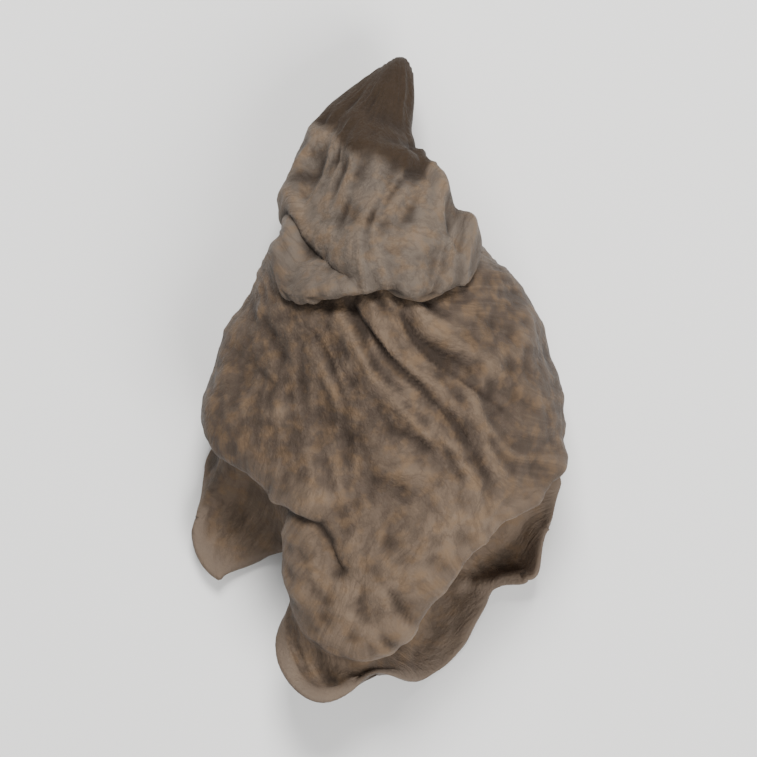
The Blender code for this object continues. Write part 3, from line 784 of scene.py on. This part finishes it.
def covered_share(tree, rays, spot, normal):
    """How much of one point's outlook the sheet itself covers."""
    facing = rays @ normal
    start = Vector(spot + normal * HIDDEN_LIFT)
    covered = 0.0
    for index in np.flatnonzero(facing > HIDDEN_FACING):
        if tree.ray_cast(start, Vector(rays[index]), HIDDEN_REACH)[0]:
            covered += facing[index]
    return covered / facing[facing > HIDDEN_FACING].sum()


def stretch(known, count):
    """Fill in the rows between those that are known."""
    at, keys = np.arange(count) / HIDDEN_STEP, np.arange(len(known))
    return np.array([np.interp(at, keys, line) for line in known.T]).T


def hidden_share(top, low):
    """How far each point of both faces lies in a deep fold, where the outer skin paints shade."""
    rows, columns = top.shape[:2]
    number = np.arange(rows * columns).reshape(rows, columns)[::HIDDEN_STEP, ::HIDDEN_STEP]
    quads = np.stack([number[:-1, :-1], number[:-1, 1:], number[1:, 1:], number[1:, :-1]], axis=-1)
    points = [Vector(p) for p in np.concatenate([top.reshape(-1, 3), low.reshape(-1, 3)])]
    faces = [tuple(quad) for quad in quads.reshape(-1, 4).tolist()]
    faces += [tuple(value + rows * columns for value in quad) for quad in faces]
    tree = BVHTree.FromPolygons(points, faces)
    turns = np.arange(HIDDEN_RAYS) + 0.5
    rise = 1.0 - 2.0 * turns / HIDDEN_RAYS
    ring = np.sqrt(1.0 - rise ** 2)
    around = turns * math.pi * GOLDEN_SHARE
    rays = np.stack([ring * np.cos(around), ring * np.sin(around), rise], axis=-1)
    shares = []
    for grid, side in ((top, 1.0), (low, -1.0)):
        normals = grid_normals(grid) * side
        known = np.array([[covered_share(tree, rays, grid[row, column], normals[row, column])
                           for column in range(0, columns, HIDDEN_STEP)]
                          for row in range(0, rows, HIDDEN_STEP)])
        shares.append(stretch(stretch(known.T, columns).T, rows))
    return shares


def fit_to_solid(grids):
    """Centre the points on the solid's box, on its lowest level and no larger than it."""
    points = np.concatenate([grid.reshape(-1, 3) for grid in grids])
    low, high = points.min(axis=0), points.max(axis=0)
    box_low, box_high = np.array(EAR_LOW) / MM, np.array(EAR_HIGH) / MM
    scale = min(1.0, ((box_high - box_low)[:2] / (high - low)[:2]).min())
    centre, box_centre = (low + high)[:2] / 2, (box_low + box_high)[:2] / 2
    for grid in grids:
        grid[..., :2] = (grid[..., :2] - centre) * scale + box_centre
        grid[..., 2] = np.maximum((grid[..., 2] - low[2]) * scale - SEAT_DEPTH, 0.0) + box_low[2]


# The piece.

def ear_mesh(top, low, facts):
    """The sheet as one closed mesh, in metres, with its finish values on its vertices."""
    rows, columns = top.shape[:2]
    hidden_top, hidden_low = hidden_share(top, low)
    bm = bmesh.new()
    for name in (*facts, "fold_shade"):
        bm.verts.layers.float.new(name)
    fold_shade = bm.verts.layers.float["fold_shade"]
    layers = {name: bm.verts.layers.float[name] for name in facts}
    bmesh.ops.create_grid(bm, x_segments=columns - 1, y_segments=rows - 1, size=1.0)
    outer = set(bm.verts)
    bmesh.ops.extrude_face_region(bm, geom=bm.faces[:], use_keep_orig=True)
    for face in bm.faces:
        if not any(vertex in outer for vertex in face.verts):
            face.material_index = 1
    for vertex in bm.verts:
        row = round((vertex.co.y + 1.0) / 2.0 * (rows - 1))
        column = round((vertex.co.x + 1.0) / 2.0 * (columns - 1))
        side, covered = (top, hidden_top) if vertex in outer else (low, hidden_low)
        vertex.co = Vector(side[row, column]) * MM
        vertex[fold_shade] = covered[row, column]
        for name, layer in layers.items():
            vertex[layer] = facts[name][row, column]
    bmesh.ops.recalc_face_normals(bm, faces=bm.faces[:])
    mesh = bpy.data.meshes.new("ear_sheet")
    bm.to_mesh(mesh)
    bm.free()
    mesh.shade_smooth()
    return mesh


# Finish.

# The sockets of a mix node that hold colours, by number, since other kinds share their names.
MIX_SHARE, MIX_FIRST, MIX_SECOND, MIX_RESULT = 0, 6, 7, 2

# Noise of the grain group: detail and roughness of each, and the range that is used.
MOTTLE_NOISE, MOTTLE_RANGE = (5.0, 0.62), (0.34, 0.66)
GRAIN_NOISE, SPECKLE_RANGE = (6.0, 0.7), (0.4, 0.7)
FLECK_NOISE, FLECK_RANGE = (2.0, 0.5), (0.48, 0.66)
STREAK_NOISE, STREAK_RANGE = (4.0, 0.6), (0.0, 0.14)
NET_RANGE, NET_HEIGHT = (0.0, 0.25), 0.25

# The flecks are coarser than the grain. The streaks have scales round their fan and along it, and
# lie where their noise passes this level.
FLECK_SCALE = 0.36
STREAKS_ROUND, STREAKS_ALONG, STREAK_LEVEL = 22.0, 1.5, 0.5
GROUP_SOCKETS = (
    ("INPUT", ("Mottle Scale", "Grain Scale")),
    ("OUTPUT", ("Mottle", "Speckle", "Fleck", "Streak", "Height")),
)

# Each skin's scales of mottle and grain, range of roughness, and strength and distance of bump.
OUTER_SCALES, OUTER_ROUGHNESS, OUTER_BUMP = (420.0, 5200.0), (0.66, 0.86), (0.55, 0.00004)
INNER_SCALES, INNER_ROUGHNESS, INNER_BUMP = (260.0, 3000.0), (0.38, 0.55), (0.4, 0.00003)
SHEEN, SHEEN_ROUGHNESS, OUTER_SPECULAR = 0.04, 0.5, 0.15

# Each colour's range of the value that brings it in, and the range of its share. The ridges'
# colour is a painted highlight, the streaks', creases' and deep folds' colour is painted shade, and
# the rim's is partly a painted highlight along the hem's ridge.
SHADE_SHARE = (0.0, 1.0, 0.08, 0.68)
HOOD_SHARE = (0.0, 0.9, 0.6, 1.0)
DUST_SHARE = (0.3, 1.0, 0.0, 0.3)
RIDGE_HIGHLIGHT_SHARE = (0.0, 1.0, 0.0, 0.6)
MARGIN_SHARE = (0.3, 1.0, 0.0, 0.4)
FLECK_SHARE = (0.0, 1.0, 0.0, 0.42)
STREAK_SHADE_SHARE = (0.0, 0.5, 0.25, 0.0)
CREASE_SHADE_SHARE = (0.0, 1.0, 0.0, 0.85)
FOLD_SHADE_SHARE = (0.4, 0.9, 0.0, 0.25)
RIM_AND_HIGHLIGHT_SHARE = (0.0, 1.0, 0.0, 0.8)
INNER_MARGIN_SHARE = (0.5, 1.0, 0.0, 0.45)


def fill(tree, inputs, values):
    """Put these plain values, or links from these sockets, on a node's inputs."""
    for key, value in values.items():
        if isinstance(value, bpy.types.NodeSocket):
            tree.links.new(value, inputs[key])
        else:
            inputs[key].default_value = value


def attribute(tree, name):
    """One of the values that the mesh holds on its vertices."""
    node = tree.nodes.new("ShaderNodeAttribute")
    node.attribute_name = name
    return node.outputs["Fac"]


def mix_colour(tree, share, first, second):
    """A colour between two others."""
    node = tree.nodes.new("ShaderNodeMix")
    node.data_type = "RGBA"
    fill(tree, node.inputs, {MIX_SHARE: share, MIX_FIRST: first, MIX_SECOND: second})
    return node.outputs[MIX_RESULT]


def map_range(tree, value, low, high, to_low=0.0, to_high=1.0):
    """Rescale a socket's value, held inside its range."""
    node = tree.nodes.new("ShaderNodeMapRange")
    fill(tree, node.inputs, {"Value": value, "From Min": low, "From Max": high,
                             "To Min": to_low, "To Max": to_high})
    return node.outputs["Result"]


def tint(tree, colour, value, share, paint):
    """The colour with a plain one mixed in, by a share that follows a value."""
    return mix_colour(tree, map_range(tree, value, *share), colour, (*paint, 1.0))


def combine(tree, operation, first, second):
    """A sum, product or other result of two values, each a socket or a number."""
    node = tree.nodes.new("ShaderNodeMath")
    node.operation = operation
    fill(tree, node.inputs, {0: first, 1: second})
    return node.outputs[0]


def noise_socket(tree, place, scale, detail, roughness):
    """Noise of this detail and roughness at a place."""
    node = tree.nodes.new("ShaderNodeTexNoise")
    fill(tree, node.inputs, {"Vector": place, "Scale": scale, "Detail": detail, "Roughness": roughness})
    return node.outputs["Fac"]


def skin_grain_group():
    """Grain of dried skin: values for its colours, and the height of its finest wrinkles."""
    group = bpy.data.node_groups.new("skin_grain", "ShaderNodeTree")
    for way_through, names in GROUP_SOCKETS:
        for name in names:
            group.interface.new_socket(name=name, in_out=way_through, socket_type="NodeSocketFloat")
    given = group.nodes.new("NodeGroupInput").outputs
    result = group.nodes.new("NodeGroupOutput").inputs
    place = group.nodes.new("ShaderNodeTexCoord").outputs["Object"]

    mottle = noise_socket(group, place, given["Mottle Scale"], *MOTTLE_NOISE)
    grain = noise_socket(group, place, given["Grain Scale"], *GRAIN_NOISE)
    fleck_scale = combine(group, "MULTIPLY", given["Grain Scale"], FLECK_SCALE)
    flecks = noise_socket(group, place, fleck_scale, *FLECK_NOISE)
    pits = group.nodes.new("ShaderNodeTexVoronoi")
    pits.feature = "DISTANCE_TO_EDGE"
    fill(group, pits.inputs, {"Vector": place, "Scale": given["Grain Scale"]})
    net = map_range(group, pits.outputs["Distance"], *NET_RANGE)

    # Streaks follow the fan of the wrinkles. The outer skin paints shade into their grooves.
    way = group.nodes.new("ShaderNodeCombineXYZ")
    for axis, (name, scale) in enumerate((("fan_turn", STREAKS_ROUND), ("fan_way", STREAKS_ALONG))):
        fill(group, way.inputs, {axis: combine(group, "MULTIPLY", attribute(group, name), scale)})
    streak = noise_socket(group, way.outputs[0], 1.0, *STREAK_NOISE)
    streak = combine(group, "ABSOLUTE", combine(group, "SUBTRACT", streak, STREAK_LEVEL), 0.0)
    streak = map_range(group, streak, *STREAK_RANGE)
    height = combine(group, "ADD", combine(group, "MULTIPLY", net, NET_HEIGHT), streak)
    fill(group, result, {
        "Mottle": map_range(group, mottle, *MOTTLE_RANGE),
        "Speckle": map_range(group, grain, *SPECKLE_RANGE),
        "Fleck": map_range(group, flecks, *FLECK_RANGE),
        "Streak": streak,
        "Height": combine(group, "ADD", height, grain),
    })
    return group


def new_skin(name, group, scales):
    """A material with its shader and the outputs of the grain group at these scales."""
    material = bpy.data.materials.new(name)
    material.use_nodes = True
    tree = material.node_tree
    grain = tree.nodes.new("ShaderNodeGroup")
    grain.node_tree = group
    fill(tree, grain.inputs, {"Mottle Scale": scales[0], "Grain Scale": scales[1]})
    return material, tree, tree.nodes["Principled BSDF"].inputs, grain.outputs


def bump(tree, skin, height, strength, distance):
    """Give the shader the finest relief, which changes the shading and not the shape."""
    node = tree.nodes.new("ShaderNodeBump")
    fill(tree, node.inputs, {"Strength": strength, "Distance": distance, "Height": height})
    fill(tree, skin, {"Normal": node.outputs["Normal"]})


def outer_skin(look, group):
    """Dull outside: grey-brown, paler on its hood and margin, with a painted highlight on its ridges,
    painted shade in its creases, deep folds and the grooves of its streaks, and tone patches that are
    partly painted light and shade.
    """
    material, tree, skin, grain = new_skin("ear_outer_skin", group, OUTER_SCALES)
    mottle = map_range(tree, grain["Mottle"], *SHADE_SHARE)
    # The mottle gets the tone patches, which are partly painted light and painted shade.
    mottle_tone_and_light = combine(tree, "ADD", mottle, attribute(tree, "tone_and_light"))
    shade = map_range(tree, mottle_tone_and_light, 0.0, 1.0)
    colour = mix_colour(tree, shade, (*look.body_dark, 1.0), (*look.body, 1.0))
    hood = combine(tree, "MULTIPLY", attribute(tree, "hood"), map_range(tree, mottle_tone_and_light, *HOOD_SHARE))
    colour = mix_colour(tree, hood, colour, (*look.bloom, 1.0))
    colour = tint(tree, colour, grain["Speckle"], DUST_SHARE, look.bloom)
    # Painted highlight on the ridges.
    colour = tint(tree, colour, attribute(tree, "ridge_highlight"), RIDGE_HIGHLIGHT_SHARE, look.ridge_highlight)
    colour = tint(tree, colour, attribute(tree, "margin"), MARGIN_SHARE, look.margin)
    colour = tint(tree, colour, grain["Fleck"], FLECK_SHARE, look.fleck)
    colour = mix_colour(tree, attribute(tree, "point"), colour, (*look.point, 1.0))
    # Painted shade in the grooves of the streaks.
    colour = tint(tree, colour, grain["Streak"], STREAK_SHADE_SHARE, look.crease_shade)
    # Painted shade in the creases.
    colour = tint(tree, colour, attribute(tree, "crease_shade"), CREASE_SHADE_SHARE, look.crease_shade)
    # Painted shade in the deep folds.
    colour = tint(tree, colour, attribute(tree, "fold_shade"), FOLD_SHADE_SHARE, look.crease_shade)
    # A paler rim at the free edge, and a painted highlight along the hem's ridge.
    rim_and_hem_highlight = map_range(tree, attribute(tree, "rim_and_hem_highlight"), *RIM_AND_HIGHLIGHT_SHARE)
    rim_and_hem_highlight = combine(tree, "SUBTRACT", rim_and_hem_highlight, attribute(tree, "point"))
    colour = tint(tree, colour, rim_and_hem_highlight, (0.0, 1.0), look.margin)
    roughness = map_range(tree, grain["Speckle"], 0.0, 1.0, *OUTER_ROUGHNESS)
    fill(tree, skin, {"Base Color": colour, "Roughness": roughness, "Sheen Weight": SHEEN,
                      "Sheen Roughness": SHEEN_ROUGHNESS, "Specular IOR Level": OUTER_SPECULAR})
    bump(tree, skin, grain["Height"], *OUTER_BUMP)
    return material


def inner_skin(look, group):
    """Smoother inside: near black brown with a low gloss, paler towards the free edge."""
    material, tree, skin, grain = new_skin("ear_inner_skin", group, INNER_SCALES)
    colour = mix_colour(tree, grain["Mottle"], (*look.inside_dark, 1.0), (*look.inside, 1.0))
    colour = tint(tree, colour, attribute(tree, "margin"), INNER_MARGIN_SHARE, look.margin)
    colour = mix_colour(tree, attribute(tree, "point"), colour, (*look.point, 1.0))
    roughness = map_range(tree, grain["Speckle"], 0.0, 1.0, *INNER_ROUGHNESS)
    fill(tree, skin, {"Base Color": colour, "Roughness": roughness})
    bump(tree, skin, grain["Height"], *INNER_BUMP)
    return material


# Settings.

class EarShape(bpy.types.PropertyGroup):
    """Sizes of the sheet."""

    wall: FloatProperty(
        name="Wall", description="Thickness of the sheet in its middle",
        default=0.44 * MM, min=0.2 * MM, max=1.0 * MM, precision=5, unit="LENGTH")
    edge_wall: FloatProperty(
        name="Edge Wall", description="Thickness of the sheet near its free edge",
        default=0.32 * MM, min=0.1 * MM, max=1.0 * MM, precision=5, unit="LENGTH")
    lap_wall: FloatProperty(
        name="Lap Wall", description="Thickness where the sheet laps and draws to its point",
        default=0.28 * MM, min=0.1 * MM, max=1.0 * MM, precision=5, unit="LENGTH")
    wrinkle_strength: FloatProperty(
        name="Wrinkles", description="Height of the fine wrinkles, as a share of their usual one",
        default=1.0, min=0.0, max=2.0, subtype="FACTOR")
    # The depth at which a crease gets its full painted shade.
    crease_depth: FloatProperty(
        name="Crease Depth", description="Depth at which a crease has its full dark colour",
        default=0.07 * MM, min=0.01 * MM, max=1.0 * MM, precision=5, unit="LENGTH")


class EarLook(bpy.types.PropertyGroup):
    """Colours of the sheet."""

    body: FloatVectorProperty(
        name="Body", description="Usual colour of the outside",
        subtype="COLOR", min=0.0, max=1.0, default=(0.131, 0.092, 0.0635))
    body_dark: FloatVectorProperty(
        name="Body Mottle", description="Darker patches of the outside",
        subtype="COLOR", min=0.0, max=1.0, default=(0.056, 0.039, 0.0275))
    bloom: FloatVectorProperty(
        name="Bloom", description="Pale grey of the hood and of the dusty grain",
        subtype="COLOR", min=0.0, max=1.0, default=(0.101, 0.0815, 0.065))
    fleck: FloatVectorProperty(
        name="Flecks", description="Warm tan of the small flecks",
        subtype="COLOR", min=0.0, max=1.0, default=(0.144, 0.087, 0.044))
    point: FloatVectorProperty(
        name="Point", description="Darker brown of the pointed attachment",
        subtype="COLOR", min=0.0, max=1.0, default=(0.028, 0.0168, 0.0088))
    # Painted highlight on the ridges.
    ridge_highlight: FloatVectorProperty(
        name="Ridges", description="Worn colour of the ridges",
        subtype="COLOR", min=0.0, max=1.0, default=(0.15, 0.104, 0.069))
    # Painted shade in the creases, the deep folds and the grooves of the streaks.
    crease_shade: FloatVectorProperty(
        name="Creases", description="Dark colour of the creases",
        subtype="COLOR", min=0.0, max=1.0, default=(0.018, 0.0115, 0.0075))
    margin: FloatVectorProperty(
        name="Margin", description="Tan colour of the free edge",
        subtype="COLOR", min=0.0, max=1.0, default=(0.125, 0.093, 0.069))
    inside: FloatVectorProperty(
        name="Inside", description="Usual colour of the inside",
        subtype="COLOR", min=0.0, max=1.0, default=(0.03, 0.02, 0.015))
    inside_dark: FloatVectorProperty(
        name="Inside Mottle", description="Darker patches of the inside",
        subtype="COLOR", min=0.0, max=1.0, default=(0.012, 0.008, 0.006))


class StageSettings(bpy.types.PropertyGroup):
    """Floor, light and camera."""

    floor_colour: FloatVectorProperty(
        name="Floor", description="Colour of the floor",
        subtype="COLOR", min=0.0, max=1.0, default=(0.78, 0.77, 0.75))
    light_power: FloatProperty(
        name="Light", description="Power of the main light",
        default=0.475, min=0.0, unit="POWER")
    framed: FloatProperty(
        name="Framed Length", description="Length that fills the picture's height",
        default=27.6 * MM, min=5.0 * MM, precision=4, unit="LENGTH")
    lens: FloatProperty(
        name="Lens", description="Focal length of the camera in millimetres",
        default=240.0, min=20.0, max=600.0)


# Operators.

class WOODEAR_OT_sheet(bpy.types.Operator):
    """Make the whole ear as one sheet with its outer and inner skin"""

    bl_idname = "wood_ear.sheet"
    bl_label = "Make Ear"
    bl_options = {"REGISTER", "UNDO"}

    def execute(self, context):
        top, low, facts = ear_sheet(context.scene.ear_shape)
        fit_to_solid((top, low))
        ear = bpy.data.objects.new("ear_sheet", ear_mesh(top, low, facts))
        context.scene.collection.objects.link(ear)
        group = skin_grain_group()
        ear.data.materials.append(outer_skin(context.scene.ear_look, group))
        ear.data.materials.append(inner_skin(context.scene.ear_look, group))
        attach(ear, "root")
        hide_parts("wood_ear")
        return {"FINISHED"}


# The stage.

# The floor's half width, its gap below the ear and its roughness.
FLOOR_HALF, FLOOR_DROP, FLOOR_ROUGHNESS = 0.6, 0.02 * MM, 0.9

# Each light: name, azimuth from +Y to the right, elevation, distance, width and share of power.
LIGHTS = (
    ("key", 0.0, 52.0, 0.16, 0.06, 0.88),
    ("front", 145.0, 42.0, 0.22, 0.16, 1.35),
)
SKY_COLOUR, SKY_STRENGTH = (0.93, 0.96, 1.0, 1.0), 0.4

# The width of the camera's sensor in millimetres, and what it shows, in shares of its distance.
SENSOR = 36.0
CLIP_NEAR, CLIP_FAR = 0.1, 10.0


def make_floor(colour):
    """A plain pale floor."""
    bm = bmesh.new()
    bmesh.ops.create_grid(bm, x_segments=1, y_segments=1, size=FLOOR_HALF)
    bmesh.ops.translate(bm, verts=bm.verts, vec=(0.0, 0.0, -FLOOR_DROP))
    mesh = bpy.data.meshes.new("floor")
    bm.to_mesh(mesh)
    bm.free()
    material = bpy.data.materials.new("floor")
    material.use_nodes = True
    paper = material.node_tree.nodes["Principled BSDF"]
    paper.inputs["Base Color"].default_value = (*colour, 1.0)
    paper.inputs["Roughness"].default_value = FLOOR_ROUGHNESS
    mesh.materials.append(material)
    floor = bpy.data.objects.new("floor", mesh)
    bpy.context.scene.collection.objects.link(floor)


def make_light(target, main_power, name, azimuth, elevation, distance, width, share):
    """A square soft light that looks at the target."""
    lamp = bpy.data.lights.new(name, "AREA")
    lamp.energy = share * main_power
    lamp.size = width
    light = bpy.data.objects.new(name, lamp)
    turn, rise = math.radians(azimuth), math.radians(elevation)
    away = Vector((math.sin(turn) * math.cos(rise), math.cos(turn) * math.cos(rise), math.sin(rise)))
    light.location = target + away * distance
    light.rotation_mode = "QUATERNION"
    light.rotation_quaternion = (-away).to_track_quat("-Z", "Y")
    bpy.context.scene.collection.objects.link(light)


def make_camera(settings, target):
    """A camera that looks straight down, far enough away to show the ear without distortion."""
    data = bpy.data.cameras.new("camera")
    data.lens = settings.lens
    data.sensor_width = SENSOR
    camera = bpy.data.objects.new("camera", data)
    distance = settings.framed * settings.lens / SENSOR
    camera.location = target + Vector((0.0, 0.0, distance))
    data.clip_start, data.clip_end = distance * CLIP_NEAR, distance * CLIP_FAR
    bpy.context.scene.collection.objects.link(camera)
    bpy.context.scene.camera = camera


class WOODEAR_OT_stage(bpy.types.Operator):
    """Make the floor, the soft lights and the camera"""

    bl_idname = "wood_ear.stage"
    bl_label = "Make Stage"
    bl_options = {"REGISTER", "UNDO"}

    def execute(self, context):
        settings = context.scene.ear_stage
        middle = (EAR_LOW + EAR_HIGH) / 2
        make_floor(settings.floor_colour)
        for light in LIGHTS:
            make_light(middle, settings.light_power, *light)
        world = bpy.data.worlds.new("sky")
        world.use_nodes = True
        sky = world.node_tree.nodes["Background"]
        sky.inputs["Color"].default_value = SKY_COLOUR
        sky.inputs["Strength"].default_value = SKY_STRENGTH
        context.scene.world = world
        make_camera(settings, middle)
        return {"FINISHED"}


class WOODEAR_PT_panel(bpy.types.Panel):
    """Settings and steps of the dried wood ear"""

    bl_idname = "WOODEAR_PT_panel"
    bl_label = "Dried Wood Ear"
    bl_space_type = "VIEW_3D"
    bl_region_type = "UI"
    bl_category = "Wood Ear"

    def draw(self, context):
        layout = self.layout
        for group in (context.scene.ear_shape, context.scene.ear_look, context.scene.ear_stage):
            box = layout.box()
            for name in group.__annotations__:
                box.prop(group, name)
        layout.operator("wood_ear.sheet")
        layout.operator("wood_ear.stage")


CLASSES = (EarShape, EarLook, StageSettings, WOODEAR_OT_sheet, WOODEAR_OT_stage, WOODEAR_PT_panel)


def register():
    """Add the settings, the operators and the panel to Blender."""
    for cls in CLASSES:
        bpy.utils.register_class(cls)
    bpy.types.Scene.ear_shape = PointerProperty(type=EarShape)
    bpy.types.Scene.ear_look = PointerProperty(type=EarLook)
    bpy.types.Scene.ear_stage = PointerProperty(type=StageSettings)


def unregister():
    """Take them away again."""
    del bpy.types.Scene.ear_stage
    del bpy.types.Scene.ear_look
    del bpy.types.Scene.ear_shape
    for cls in reversed(CLASSES):
        bpy.utils.unregister_class(cls)


def main():
    """Make the ear and its stage."""
    register()
    bpy.ops.wood_ear.sheet()
    bpy.ops.wood_ear.stage()


if __name__ == "__main__":
    main()
